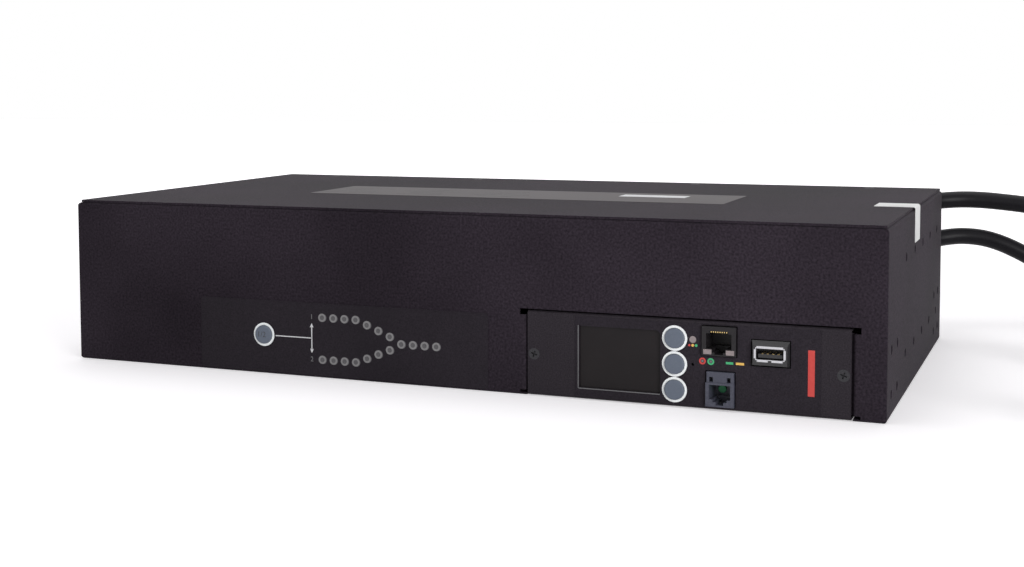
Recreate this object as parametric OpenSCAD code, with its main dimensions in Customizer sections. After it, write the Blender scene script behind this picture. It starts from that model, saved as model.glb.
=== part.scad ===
// Rack transfer switch, two rack units high, with two captive power cords.
// X runs to the right of the front panel, Y to the rear, Z up. The origin is the centre of the underside.

/* [Case] */
// Width of the case
case_w = 432; // [410:1:470]
// Depth of the case from front face to rear face
case_d = 240; // [225:1:420]
// Height of the case over its cover
case_h = 88; // [84:1:130]
// Thickness of the case sheet
sheet = 1.2; // [0.8:0.1:1.6]
// Radius of the folds, to the middle of the sheet
bend_r = 1; // [0.9:0.1:1.6]
// Width of the folded edges along the top and the rear
flange = 14; // [12:1:18]
// Gap between the cover and the folded edges
cover_gap = 0.15; // [0.1:0.05:1.2]
// Distance from the outside of the walls to the edge of the cover
cover_inset = 1; // [0.5:0.1:3]
// Open seam between the front wall and each side wall
corner_seam = 0.6; // [0.2:0.1:1.5]
// Diameter of the pads that carry the cover
pad_d = 8; // [5:0.5:10]

/* [Side holes] */
// Diameter of the threaded holes in the sides
side_hole_d = 4.5; // [3:0.1:6]
// Distance between two bracket holes along the case
bracket_dy = 21; // [14:0.5:24]
// Distance between two bracket holes up the case
bracket_dz = 20.3; // [14:0.1:26]
// Height of the middle of the bracket holes
bracket_z = 20.6; // [18:0.1:30]
// Distance from the front face to the middle of the first bracket holes
bracket_y = 25.5; // [18:0.5:34]
// Distance from the front face to the first hole of each row
row_y = 67; // [55:1:80]
// Distance between the holes of a row
row_pitch = 36; // [25:1:38]
// Number of holes in a row
row_count = 5; // [2:1:5]
// Height of the upper row
row_high_z = 67; // [55:1:72]

/* [Front module] */
// Width of the module's face
module_w = 153; // [150:0.1:165]
// Height of the module's face
module_h = 41.2; // [40:0.1:50]
// Distance from the right side of the case to the module
module_side = 15.4; // [14:0.1:25]
// Gap round the module
module_gap = 0.8; // [0.4:0.1:1.5]
// Width of the relief notches beside the module
notch_w = 3.4; // [2:0.1:5]
// Height of the relief notches
notch_h = 1.8; // [1:0.1:3]
// Length of the tabs that hold the module
tab_len = 9; // [8:0.5:12]
// Depth of the tray behind the module
tray_d = 74; // [60:1:90]
// Thickness of the printed films
film = 0.3; // [0.1:0.05:0.6]
// Diameter of the heads of the case screws
screw_head_d = 5.6; // [5:0.1:6.4]
// Diameter of the case screws
screw_d = 3; // [2:0.1:3.5]

/* [Buttons and indicators] */
// Diameter of the buttons
button_d = 9.4; // [8:0.1:9.6]
// Distance between the buttons of the module
button_pitch = 12.1; // [12:0.1:12.6]
// Height of the buttons over their rings
button_rise = 1.2; // [0.6:0.1:2]
// Travel of the buttons
button_travel = 0.5; // [0.2:0.05:0.5]
// Clearance between a button and its ring
button_clear = 0.15; // [0.1:0.05:0.25]
// Outer diameter of the white rings round the buttons
ring_d = 11.9; // [11.9:0.1:12.3]
// Diameter of the lenses of the power path
lens_d = 4.2; // [3:0.1:4.6]
// Distance between the lenses of the power path
lens_pitch = 6.4; // [6.2:0.1:7]
// Distance from the film of the power path to the module
path_gap = 20.6; // [18:0.1:40]

/* [Rear] */
// Width of an outlet bank
bank_w = 132; // [126:1:134]
// Height of an outlet bank
bank_h = 68; // [66:1:70]
// Distance from the left side of the case to the first bank
bank_side = 20; // [18:1:26]
// Distance between the two banks
bank_gap = 8; // [6:1:14]
// Outlets in a row of a bank
outlet_columns = 4; // [2:1:4]
// Distance between outlets along a row
outlet_dx = 32; // [30:1:33]
// Distance between the two rows of outlets
outlet_dz = 33; // [31:1:34]
// Distance from the right side of the case to the cords
cord_side = 30; // [24:1:40]
// Distance from the top of the case down to the upper cord
cord_drop = 16; // [14:1:20]
// Distance between the two cords
cord_pitch = 26; // [24:1:34]
// Distance from the cords to the ground stud
stud_side = 49; // [40:1:60]
// Distance from the top of the case down to the ground stud
stud_drop = 20; // [14:1:30]

/* [Cords] */
// Diameter of a power cord
cord_d = 10.5; // [8:0.1:11]
// Length of a strain relief behind the case
relief_l = 33; // [20:1:40]
// Diameter of the face of a plug
plug_d = 41; // [36:1:48]
// Length of a plug's body
plug_l = 50; // [40:1:60]

/* [Hidden] */

$fn = 48;
black = "#2b282c";
steel = "#b9bcc0";
pcb = "#1f5a38";

right = case_w / 2;
front = -case_d / 2;
back = case_d / 2;
outer_r = bend_r + sheet / 2;
wall_top = case_h - sheet - cover_gap;
top_mid = wall_top - sheet / 2;
wall_mid = right - sheet / 2;

// Places across the front panel, from the right side of the case.
module_x1 = right - module_side;
module_x0 = module_x1 - module_w;
module_z0 = 0.3;
module_z1 = module_z0 + module_h;
open_x0 = module_x0 - module_gap;
open_x1 = module_x1 + module_gap;
open_top = module_z1 + module_gap;
module_mid_z = 20.4;
fold_back = 10;
tab_mid = sheet + bend_r * 2 + 0.1 - sheet / 2;

// Parts of the module, as distances from its left edge.
film_x0 = module_x0 + 24.3;
film_x1 = module_x0 + 139.8;
window_x0 = module_x0 + 26.1;
window_x1 = module_x0 + 66;
window_z0 = 5.8;
window_z1 = 35.6;
window_cut = 1.4;
window_lip = 1.6;
window_t = 1;
button_x = module_x0 + 72.8;
lamp_x = module_x0 + 81.4;
lamp_z = module_mid_z + 12;
lamp_d = 3.2;
reset_z = module_mid_z + 0.4;
reset_d = 1.8;
net_x = module_x0 + 93.8;
net_z = 32.4;
net_w = 15.9;
net_h = 13.6;
net_rise = 1.6;
serial_x = module_x0 + 94.4;
serial_z0 = 2;
serial_w = 13.2;
serial_h = 16.2;
serial_rise = 2;
usb_x = module_x0 + 117.4;
usb_z = 28.2;
usb_w = 17.2;
usb_h = 11.6;
usb_rise = 2.6;
jack_gap = 0.45;
jack_d = 17;

// Boards.
board_t = 1.6;
button_board_y = front + 7;
button_board_t = 1.2;
controller_z = 21.2;
controller_y1 = front + tray_d - 6;
tray_z0 = 2.4;
tray_t = 1;
tray_x0 = module_x0 + 10;
tray_x1 = module_x1 - 10;
power_x0 = -right + 12;
power_w = 330;
power_d = 116;
power_y0 = back - 36 - power_d;
power_z = sheet + 6;
power_top = power_z + board_t;
led_board_y = front + 9;

// The power path: places of the lenses from the middle of the path, in steps of the pitch.
path_film_x1 = module_x0 - path_gap;
path_film_w = 164.3;
path_film_x0 = path_film_x1 - path_film_w;
path_film_z0 = 1.2;
path_film_z1 = 38.7;
path_x = path_film_x0 + 73.1;
path_z = 20.4;
path_rise = [10.9, 10.9, 10.9, 10.9, 8.6, 6, 3.4];
function path_places() = concat(
    [for (side = [1, -1], i = [0:len(path_rise) - 1])
        [path_x + i * lens_pitch, path_z + side * path_rise[i]]],
    [for (i = [0:3]) [path_x + (len(path_rise) + i) * lens_pitch, path_z]]);
preference_x = path_film_x0 + 38.3;
preference_z = 20.6;
preference_ring_d = ring_d + 0.3;

// Rear places.
bank_x = [-right + bank_side + bank_w / 2, -right + bank_side + bank_w * 1.5 + bank_gap];
bank_z = wall_top / 2 + 2;
bank_depth = 24;
bank_lip = 1.6;
lock_x = bank_x[1] + bank_w / 2 + 31;
lock_d = 40;
lock_z = 32;
cord_x = right - cord_side;
cord_high_z = case_h - cord_drop;
cord_low_z = cord_high_z - cord_pitch;
stud_x = cord_x - stud_side;
stud_z = case_h - stud_drop;
relief_flange = 3;
relief_d = 20;
relief_thread_d = 15;
relief_thread_l = 12;
nut_t = 4;

// ---- Shared shapes ----

// Flat profile of a folded sheet along points with square corners; t is its thickness, r its middle radius.
module folded(p, t = sheet, r = bend_r) {
    n = len(p);
    for (i = [0:n - 2]) {
        d = (p[i + 1] - p[i]) / norm(p[i + 1] - p[i]);
        a = p[i] + d * (i == 0 ? 0 : r);
        b = p[i + 1] - d * (i == n - 2 ? 0 : r);
        translate([min(a.x, b.x) - abs(d.y) * t / 2, min(a.y, b.y) - abs(d.x) * t / 2])
            square([abs(b.x - a.x) + abs(d.y) * t, abs(b.y - a.y) + abs(d.x) * t]);
    }
    for (i = [1:1:n - 2]) {
        d0 = (p[i] - p[i - 1]) / norm(p[i] - p[i - 1]);
        d1 = (p[i + 1] - p[i]) / norm(p[i + 1] - p[i]);
        q = d0 - d1;
        translate(p[i] - q * r)
            intersection() {
                difference() {
                    circle(r + t / 2);
                    circle(r - t / 2);
                }
                translate([min(0, q.x * 9), min(0, q.y * 9)]) square([9, 9]);
            }
    }
}

// Profile drawn in Y and Z, run from x0 to x1.
module along_x(x0, x1) translate([x0, 0, 0]) rotate([90, 0, 90]) linear_extrude(x1 - x0) children();

// Profile drawn in X and Z, run from y0 to y1.
module along_y(y0, y1) translate([0, y1, 0]) rotate([90, 0, 0]) linear_extrude(y1 - y0) children();

module block(x, y, z) translate([x[0], y[0], z[0]]) cube([x[1] - x[0], y[1] - y[0], z[1] - z[0]]);

// Round rod along Y from y0 to y1, with its middle at x and z.
module rod_y(x, z, d, y0, y1, sides = $fn) translate([x, y1, z]) rotate([90, 0, 0])
    cylinder(d = d, h = y1 - y0, $fn = sides);

module rounded_rect(w, h, r) {
    translate([-w / 2 + r, -h / 2]) square([w - 2 * r, h]);
    translate([-w / 2, -h / 2 + r]) square([w, h - 2 * r]);
    for (x = [-1, 1], z = [-1, 1]) translate([x * (w / 2 - r), z * (h / 2 - r)]) circle(r);
}

// ---- Tubes swept along a route ----

function unit(v) = v / norm(v);
function bezier(a, b, c, d, t) = let (s = 1 - t)
    s * s * s * a + 3 * s * s * t * b + 3 * s * t * t * c + t * t * t * d;
function heading(p, i) = unit(p[min(i + 1, len(p) - 1)] - p[max(i - 1, 0)]);
function ring(c, t, r, n) = let (s = unit(cross(t, [0, 0, 1])), u = cross(t, s))
    [for (k = [0:n - 1]) c + r * (cos(k * 360 / n) * s + sin(k * 360 / n) * u)];
module tube(p, d, n) {
    m = len(p);
    polyhedron(
        points = [for (i = [0:m - 1]) each ring(p[i], heading(p, i), d / 2, n)],
        faces = concat(
            [[for (k = [0:n - 1]) k]],
            [[for (k = [n - 1:-1:0]) (m - 1) * n + k]],
            [for (i = [0:m - 2], k = [0:n - 1])
                [i * n + k, (i + 1) * n + k, (i + 1) * n + (k + 1) % n, i * n + (k + 1) % n]]));
}

// ---- Routes of the power cords, from the strain relief to the coil, and from the coil to the plug ----

route_a = [[186, 153, 72], [186, 160, 72], [188.5, 169.5, 72.4], [193.5, 178.5, 73.2], [200.5, 186.5, 74.2],
    [210, 193, 75.2], [221, 197, 75.8], [233, 198.6, 75.6], [246, 199, 74.6], [259, 199, 73.2],
    [272, 198.8, 70.9], [284, 198.5, 67.2], [297, 198, 61.8], [310, 197.4, 54.6], [323, 196.6, 46.4],
    [336, 195.8, 37.9], [348, 195.1, 30.4], [359, 194.6, 24.3], [370, 194.2, 19.4], [380, 194, 16.6]];
tail_a = [[380, 50, 5.25], [369, 50, 5.25], [358, 50, 5.4], [346, 50, 6.15], [334.5, 50, 8.8]];
route_b = [[186, 153, 46], [186, 160, 46], [188.5, 169.5, 46.7], [193.5, 178.5, 48], [200.5, 186.5, 49.8],
    [210, 193, 51.7], [221, 197, 52.8], [233, 198.8, 51.9], [244, 199.3, 48.9], [255, 199.9, 44],
    [266, 200.6, 38], [278, 201.4, 31], [290, 202.3, 24], [303, 203.3, 17], [316, 204.3, 11.2],
    [330, 205.3, 7.2], [345, 206, 5.5], [365, 206.5, 5.25], [390, 206.5, 5.25], [414, 206.5, 5.25],
    [431, 203.5, 5.25], [446, 194.8, 5.25], [457.3, 181.5, 5.25], [463.2, 165.2, 5.25], [464, 148, 5.25],
    [464, 125, 5.25], [464, 100, 5.6], [464, 72, 7.6], [464, 44, 10.8], [464, 14, 14.2], [464, -12, 15.6],
    [464, -36, 15.75]];
tail_b = [[399, -101, 5.25], [388, -101, 5.25], [377, -101, 5.4], [365, -101, 6.15], [353.5, -101, 8.8]];
coil_a_at = [380, 122];
coil_b_at = [399, -36];
coil_a_r = 61.5;
coil_b_r = 54.5;
coil_layers = 2;
coil_width = 3;
cord_sides = 10;

// ---- Case ----

module front_sheet() {
    intersection() {
        along_x(-right, right) folded([[front + flange, top_mid], [front + sheet / 2, top_mid],
            [front + sheet / 2, sheet / 2], [front + 30, sheet / 2]]);
        along_y(front - 1, front + 40)
            translate([0, wall_top / 2]) rounded_rect(case_w, wall_top, outer_r);
    }
}

module side_sheet() {
    along_y(front + sheet + corner_seam, back - sheet * 1.5 - bend_r)
        folded([[-right + flange, top_mid], [-wall_mid, top_mid], [-wall_mid, sheet / 2],
            [wall_mid, sheet / 2], [wall_mid, top_mid], [right - flange, top_mid]]);
}

low_lip_h = 10;
module rear_lips() {
    lip = back - sheet * 1.5;
    for (side = [0, 1]) mirror([side, 0, 0])
        translate([0, 0, flange + 1]) linear_extrude(wall_top - outer_r - flange - 1)
            folded([[wall_mid, lip - 8], [wall_mid, lip], [right - flange, lip]]);
    along_x(-right + outer_r + 1, right - outer_r - 1)
        folded([[lip - 8, sheet / 2], [lip, sheet / 2], [lip, low_lip_h]]);
}

// Tab beside the module opening: the front wall steps back and carries one module screw.
module screw_tab() {
    translate([0, 0, module_z0 + notch_h + 0.4])
        linear_extrude(module_h - 2 * notch_h - 0.8)
            folded([[open_x0 - notch_w - 2, front + sheet / 2], [open_x0 - sheet / 2, front + sheet / 2],
                [open_x0 - sheet / 2, front + tab_mid], [open_x0 + tab_len, front + tab_mid]]);
    rod_y(module_x0 + 3.3, module_mid_z, screw_head_d + 0.6, front + sheet, front + tab_mid);
}

module_mid = (module_x0 + module_x1) / 2;
module screw_tabs() {
    screw_tab();
    translate([2 * module_mid, 0, 0]) mirror([1, 0, 0]) screw_tab();
}

module side_holes() {
    bracket_rows = [bracket_y, row_y + (row_count - 1) * row_pitch];
    module hole(y, z) translate([0, front + y, z]) rotate([0, 90, 0])
        cylinder(d = side_hole_d, h = case_w + 2, center = true);
    for (y = bracket_rows, dy = [-0.5, 0.5], dz = [-0.5, 0.5])
        hole(y + dy * bracket_dy, bracket_z + dz * bracket_dz);
    for (i = [0:row_count - 1], z = [bracket_z, row_high_z]) hole(row_y + i * row_pitch, z);
}

cover_screw_x = [-right + 40, -case_w / 6, case_w / 6, right - 40];
rear_screw_side_z = wall_top - 17;
rear_screw_low_z = 5;
rear_screw_x = [-right + 8, -case_w / 6, case_w / 6, right - 8];

module rear_screw_holes(d) {
    for (x = [-right + 8, right - 8]) rod_y(x, rear_screw_side_z, d, back - 6, back + 1);
    for (x = rear_screw_x) rod_y(x, rear_screw_low_z, d, back - 6, back + 1);
}

module pads() {
    pad_y = front + flange / 2 + 1;
    for (x = [-right + 30, -case_w / 6, case_w / 6, right - 30])
        translate([x, pad_y, wall_top - sheet / 2]) cylinder(d = pad_d, h = sheet / 2 + cover_gap);
    for (x = [-1, 1], y = [front / 2, 0, back / 2])
        translate([x * (right - flange / 2 - 1), y, wall_top - sheet / 2])
            cylinder(d = pad_d, h = sheet / 2 + cover_gap);
}

module chassis() color(black) {
    difference() {
        union() {
            difference() {
                union() {
                    front_sheet();
                    side_sheet();
                }
                block([open_x0, open_x1], [front - 1, front + fold_back + 1], [-1, open_top]);
                block([open_x0 - notch_w, open_x1 + notch_w], [front - 1, front + bend_r * 2 + sheet],
                    [outer_r - 0.6, open_top]);
                for (p = path_places()) rod_y(p.x, p.y, lens_d + 0.2, front - 1, front + sheet + 1);
                rod_y(preference_x, preference_z, preference_ring_d + 0.3, front - 1, front + sheet + 1);
            }
            screw_tabs();
            rear_lips();
            pads();
        }
        for (x = [module_x0 + 3.3, module_x1 - 3.3])
            rod_y(x, module_mid_z, screw_d, front - 1, front + 9);
        side_holes();
        rear_screw_holes(screw_d);
    }
}

module top_cover() color(black) difference() {
    translate([0, 0, case_h - sheet]) linear_extrude(sheet)
        rounded_rect(case_w - 2 * cover_inset, case_d - 2 * cover_inset, 1.5);
    for (x = cover_screw_x) case_screw_cut([x, back - flange / 2 - 2, case_h], [0, 0, 0]);
}

module rear_panel() color(black) difference() {
    union() {
        along_x(-right + flange + 1, right - flange - 1)
            folded([[back - sheet / 2, 0.4], [back - sheet / 2, top_mid], [back - flange - 4, top_mid]]);
        block([-right + 0.4, right - 0.4], [back - sheet, back], [0.4, wall_top - outer_r]);
        for (x = cover_screw_x) translate([x, back - flange / 2 - 2, wall_top - sheet / 2])
            cylinder(d = pad_d, h = sheet / 2 + cover_gap);
    }
    for (x = cover_screw_x) translate([x, back - flange / 2 - 2, case_h - 8]) cylinder(d = screw_d, h = 9);
    for (x = bank_x) block([x - bank_w / 2, x + bank_w / 2], [back - 3, back + 1],
        [bank_z - bank_h / 2, bank_z + bank_h / 2]);
    rod_y(lock_x, lock_z, lock_d + 0.3, back - 3, back + 1);
    rod_y(stud_x, stud_z, 5.2, back - 3, back + 1);
    for (z = [cord_high_z, cord_low_z]) rod_y(cord_x, z, relief_thread_d + 0.3, back - 3, back + 1);
    for (x = [-right + 8, right - 8]) case_screw_cut([x, back, rear_screw_side_z], [-90, 0, 0]);
    for (x = rear_screw_x) case_screw_cut([x, back, rear_screw_low_z], [-90, 0, 0]);
}

// Countersunk cross-head screw, its flat head at the origin facing +Z.
screw_l = 5;
screw_head_h = sheet;
module screw_body() difference() {
    union() {
        translate([0, 0, -screw_l]) cylinder(d = screw_d, h = screw_l);
        translate([0, 0, -screw_head_h]) cylinder(d1 = screw_d, d2 = screw_head_d, h = screw_head_h);
    }
    for (turn = [0, 90]) rotate([0, 0, turn]) translate([0, 0, -0.5])
        cube([screw_head_d * 0.55, 0.7, 1.2], center = true);
}

module case_screw_cut(at, turn) translate(at) rotate(turn) {
    translate([0, 0, -screw_l - 2]) cylinder(d = screw_d, h = screw_l + 2);
    translate([0, 0, -screw_head_h]) cylinder(d1 = screw_d, d2 = screw_head_d, h = screw_head_h);
    cylinder(d = screw_head_d, h = 1);
}

module case_screws() color(black) {
    for (x = cover_screw_x) translate([x, back - flange / 2 - 2, case_h]) screw_body();
    for (x = [-right + 8, right - 8])
        translate([x, back, rear_screw_side_z]) rotate([-90, 0, 0]) screw_body();
    for (x = rear_screw_x) translate([x, back, rear_screw_low_z]) rotate([-90, 0, 0]) screw_body();
    for (x = [module_x0 + 3.3, module_x1 - 3.3])
        translate([x, front, module_mid_z]) rotate([90, 20, 0]) screw_body();
}

// ---- Labels and films ----

label_w = 241;
label_l = 58;
label_y = front + 116;
module top_label() color("#77757a")
    translate([2, label_y, case_h]) linear_extrude(film / 2) rounded_rect(label_w, label_l, 1.5);

// Seal over the edge of the cover: flat on the cover, curved down on to the side wall.
seal_w = 19.6;
seal_y = front + 111;
seal_top = 19;
seal_side = 16.6;
module seal_label() color("white") {
    x0 = right - cover_inset;
    fold = cover_inset + film;
    along_y(seal_y - seal_w / 2, seal_y + seal_w / 2) {
        translate([x0 - seal_top, case_h]) square([seal_top, film]);
        translate([x0, case_h - cover_inset]) intersection() {
            difference() {
                circle(fold);
                circle(cover_inset);
            }
            square([9, 9]);
        }
        translate([right, case_h - cover_inset - seal_side]) square([film, seal_side]);
    }
}

module front_film() color(black) difference() {
    along_y(front - film, front)
        translate([(path_film_x0 + path_film_x1) / 2, (path_film_z0 + path_film_z1) / 2])
            rounded_rect(path_film_x1 - path_film_x0, path_film_z1 - path_film_z0, 1.8);
    for (p = path_places()) rod_y(p.x, p.y, lens_d, front - 1, front + 1);
    rod_y(preference_x, preference_z, preference_ring_d + 0.3, front - 1, front + 1);
}

// ---- Power path display ----

module path_lenses() color("#77797c") for (p = path_places()) difference() {
    union() {
        rod_y(p.x, p.y, lens_d, front - film, front + sheet);
        rod_y(p.x, p.y, lens_d + 1, front + sheet, front + sheet + 1.4);
    }
    translate([p.x, front - film - 4.6, p.y]) sphere(r = 4.8);
}

led_board_x0 = path_film_x0 + 14;
led_board_x1 = path_film_x1 - 8;
led_board_z0 = 3;
led_board_z1 = 40;
led_stud_x = [led_board_x0 + 5, path_x - 12, led_board_x1 - 5];
module led_board() color(pcb) difference() {
    block([led_board_x0, led_board_x1], [led_board_y, led_board_y + board_t], [led_board_z0, led_board_z1]);
    for (x = led_stud_x, z = [led_board_z0 + 3, led_board_z1 - 3])
        rod_y(x, z, 2.6, led_board_y - 1, led_board_y + board_t + 1);
}

module path_leds() color("#d8d6c8") for (p = path_places())
    block([p.x - 1, p.x + 1], [led_board_y - 1.2, led_board_y], [p.y - 1.3, p.y + 1.3]);

// ---- Buttons ----

// A button at the origin: its face towards -Y, and behind its ring a flange over its switch.
ring_back = sheet + window_t;
button_foot = ring_back + 0.9;
module button(d) {
    rotate([90, 0, 0]) rotate_extrude() {
        translate([0, -button_foot]) square([d / 2, button_foot + film + button_rise - 0.5]);
        square([d / 2 - 0.5, film + button_rise]);
        translate([d / 2 - 0.5, film + button_rise - 0.5]) intersection() {
            circle(0.5);
            square(1);
        }
        translate([0, -button_foot]) square([d / 2 + 0.8, 0.8]);
    }
}
button_color = "#7d858c";
module menu_button(i) color(button_color)
    translate([button_x, front, module_mid_z + i * button_pitch]) button(button_d);
module upper_button() menu_button(1);
module middle_button() menu_button(0);
module lower_button() menu_button(-1);
module preference_button() color(button_color)
    translate([preference_x, front, preference_z]) button(button_d + 0.2);

// White rings round the buttons: flush with the film, on a plate behind the panel.
module preference_ring() color("white") difference() {
    union() {
        rod_y(preference_x, preference_z, preference_ring_d, front - film, front + sheet);
        rod_y(preference_x, preference_z, preference_ring_d + 3, front + sheet, front + ring_back);
    }
    rod_y(preference_x, preference_z, button_d + 0.2 + 2 * button_clear, front - 1, front + ring_back + 1);
}
module menu_rings() color("white") difference() {
    union() {
        for (i = [-1:1])
            rod_y(button_x, module_mid_z + i * button_pitch, ring_d, front - film, front + sheet);
        block([button_x - ring_d / 2, button_x + ring_d / 2 + 0.4], [front + sheet, front + ring_back],
            [module_mid_z - button_pitch - 6.4, module_mid_z + button_pitch + 6.4]);
    }
    for (i = [-1:1]) rod_y(button_x, module_mid_z + i * button_pitch, button_d + 2 * button_clear, front - 1,
        front + ring_back + 1);
}

// Push switches on the two front boards, each with a round plunger under its button.
plunger_gap = button_travel + 0.05;
module push_switch(x, z, board_y) {
    plunger_y = front + button_foot + plunger_gap;
    block([x - 3, x + 3], [plunger_y + 0.9, board_y], [z - 3, z + 3]);
    rod_y(x, z, 3.4, plunger_y, plunger_y + 0.9);
}
reset_body = 3.6;
reset_travel = 0.25;
module button_switches() color("#3a3a3c") {
    for (i = [-1:1]) push_switch(button_x, module_mid_z + i * button_pitch, button_board_y);
    push_switch(preference_x, preference_z, led_board_y);
    difference() {
        block([lamp_x - reset_body / 2, lamp_x + reset_body / 2], [button_board_y - 2.6, button_board_y],
            [reset_z - reset_body / 2, reset_z + reset_body / 2]);
        rod_y(lamp_x, reset_z, reset_d + 0.1, button_board_y - 3, button_board_y - 0.4);
    }
}
module reset_plunger() color("#c9c7c0") {
    foot = button_board_y - 0.45 - reset_travel;
    rod_y(lamp_x, reset_z, reset_d, button_board_y - 3.6, foot);
}

// ---- Module ----

module window_shape(grow, grow_right) polygon([
    [window_x0 - grow, window_z0 - grow], [window_x1 + grow_right, window_z0 - grow],
    [window_x1 + grow_right, window_z1 - window_cut], [window_x1 - window_cut, window_z1 + grow],
    [window_x0 - grow, window_z1 + grow]]);

module module_holes() {
    along_y(front - 1, front + sheet + 1) window_shape(0, 0);
    for (i = [-1:1])
        rod_y(button_x, module_mid_z + i * button_pitch, ring_d + 0.3, front - 1, front + sheet + 1);
    rod_y(lamp_x, lamp_z, lamp_d, front - 1, front + sheet + 1);
    rod_y(lamp_x, reset_z, 1.4, front - 1, front + sheet + 1);
    block([net_x - net_w / 2 - jack_gap, net_x + net_w / 2 + jack_gap], [front - 1, front + sheet + 1],
        [net_z - net_h / 2 - jack_gap, net_z + net_h / 2 + jack_gap]);
    block([serial_x - serial_w / 2 - jack_gap, serial_x + serial_w / 2 + jack_gap],
        [front - 1, front + sheet + 1], [serial_z0 - jack_gap / 2, serial_z0 + serial_h + jack_gap]);
    block([usb_x - usb_w / 2 - jack_gap, usb_x + usb_w / 2 + jack_gap], [front - 1, front + sheet + 1],
        [usb_z - usb_h / 2 - jack_gap, usb_z + usb_h / 2 + jack_gap]);
}

module module_panel() color(black) difference() {
    along_x(module_x0, module_x1)
        folded([[front + fold_back, module_z1 - sheet / 2], [front + sheet / 2, module_z1 - sheet / 2],
            [front + sheet / 2, module_z0 + sheet / 2], [front + fold_back, module_z0 + sheet / 2]]);
    module_holes();
    for (x = [module_x0 + 3.3, module_x1 - 3.3]) case_screw_cut([x, front, module_mid_z], [90, 0, 0]);
}

module module_film() color(black) difference() {
    block([film_x0, film_x1], [front - film, front],
        [module_z0 + outer_r - 0.4, module_z1 - outer_r + 0.2]);
    module_holes();
}

module module_tray() color(steel) {
    wall_z1 = module_z1 - sheet - 2;
    along_y(front + jack_d + 1, front + tray_d) translate([0, tray_z0])
        folded([[tray_x0 + tray_t / 2, wall_z1 - tray_z0], [tray_x0 + tray_t / 2, tray_t / 2],
            [tray_x1 - tray_t / 2, tray_t / 2], [tray_x1 - tray_t / 2, wall_z1 - tray_z0]], tray_t);
    for (x = [tray_x0, tray_x1 - tray_t]) block([x, x + tray_t], [front + sheet, front + jack_d + 1],
        [tray_z0 + 2, wall_z1]);
    block([tray_x0, tray_x0 + 4], [front + sheet, front + sheet + tray_t], [tray_z0 + 2, wall_z1]);
    block([tray_x1 - 4, tray_x1], [front + sheet, front + sheet + tray_t], [tray_z0 + 2, wall_z1]);
}

module display_window() color("#161516") along_y(front + sheet, front + sheet + window_t)
    window_shape(window_lip, 0.5);

module display_module() color("#3c4a3a")
    block([window_x0 - 1, window_x1], [button_board_y - 4, button_board_y],
        [window_z0 - 1.2, window_z1 + 1.2]);

button_board_x0 = window_x0 - 9;
button_board_x1 = lamp_x + 3.6;
button_board_z0 = module_z0 + 2.4;
button_board_z1 = module_z1 - 2.2;
spacer_d = 3.6;
function button_board_posts() = [for (x = [button_board_x0 + 2.6, button_board_x1 - 2],
    z = [button_board_z0 + 2, button_board_z1 - 2]) [x, z]];
module button_board() color(pcb) difference() {
    block([button_board_x0, button_board_x1], [button_board_y, button_board_y + button_board_t],
        [button_board_z0, button_board_z1]);
    for (p = button_board_posts())
        rod_y(p.x, p.y, 2.2, button_board_y - 1, button_board_y + button_board_t + 1);
}

controller_x0 = tray_x0 + tray_t + 2;
controller_x1 = tray_x1 - tray_t - 2;
controller_posts = [for (x = [controller_x0 + 5, controller_x1 - 5], y = [front + 23, controller_y1 - 6])
    [x, y]];
module controller_board() color(pcb) difference() {
    step_y = button_board_y + button_board_t + 1;
    translate([0, 0, controller_z - board_t]) linear_extrude(board_t) polygon([
        [controller_x0, step_y], [button_board_x1 + 0.8, step_y],
        [button_board_x1 + 0.8, front + 3], [controller_x1, front + 3],
        [controller_x1, controller_y1], [controller_x0, controller_y1]]);
    for (p = controller_posts) translate([p.x, p.y, controller_z - board_t - 1]) cylinder(d = 3.2, h = 4);
}

module panel_lamps() color("#8d8b8a") {
    rod_y(lamp_x, lamp_z, lamp_d, front - film, front + sheet);
    rod_y(lamp_x, lamp_z, lamp_d + 0.8, front + sheet, button_board_y);
    for (side = [-1, 1]) lamp_block(side);
}
lamp_w = 3.8;
lamp_h = 2.2;
module lamp_block(side) block(
    [net_x + side * (net_w / 2 - 0.8 - lamp_w / 2) - lamp_w / 2,
        net_x + side * (net_w / 2 - 0.8 - lamp_w / 2) + lamp_w / 2],
    [front - net_rise - 0.1, front + 10], [net_z - net_h / 2 + 0.7, net_z - net_h / 2 + 0.7 + lamp_h]);

// Network socket: plug space, latch slot below it, comb for the contacts above it.
net_z0 = net_z - net_h / 2;
net_z1 = net_z + net_h / 2;
net_cut_w = 11.8;
net_cut_z0 = net_z0 + 3.2;
net_cut_h = 7.2;
contact_pitch = 1.02;
module network_jack() color("#3b393d") difference() {
    union() {
        block([net_x - net_w / 2, net_x + net_w / 2], [front - net_rise, front + jack_d - net_rise],
            [net_z0, net_z1]);
        block([net_x - net_w / 2, net_x + net_w / 2], [front + sheet + 1.5, front + jack_d - net_rise],
            [controller_z, net_z0 + 1]);
    }
    block([net_x - net_cut_w / 2, net_x + net_cut_w / 2], [front - net_rise - 1, front + jack_d - 5],
        [net_cut_z0, net_cut_z0 + net_cut_h]);
    block([net_x - 3.1, net_x + 3.1], [front - net_rise - 1, front + jack_d - 8], [net_z0 + 1.6, net_z0 + 5]);
    block([net_x - 2, net_x + 2], [front - net_rise - 1, front + jack_d - 8], [net_z0 + 0.6, net_z0 + 3]);
    block([net_x - 4.3, net_x + 4.3], [front - net_rise - 1, front + jack_d - 6],
        [net_cut_z0 + net_cut_h - 1, net_cut_z0 + net_cut_h + 1]);
    for (side = [-1, 1]) lamp_block(side);
}

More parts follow.
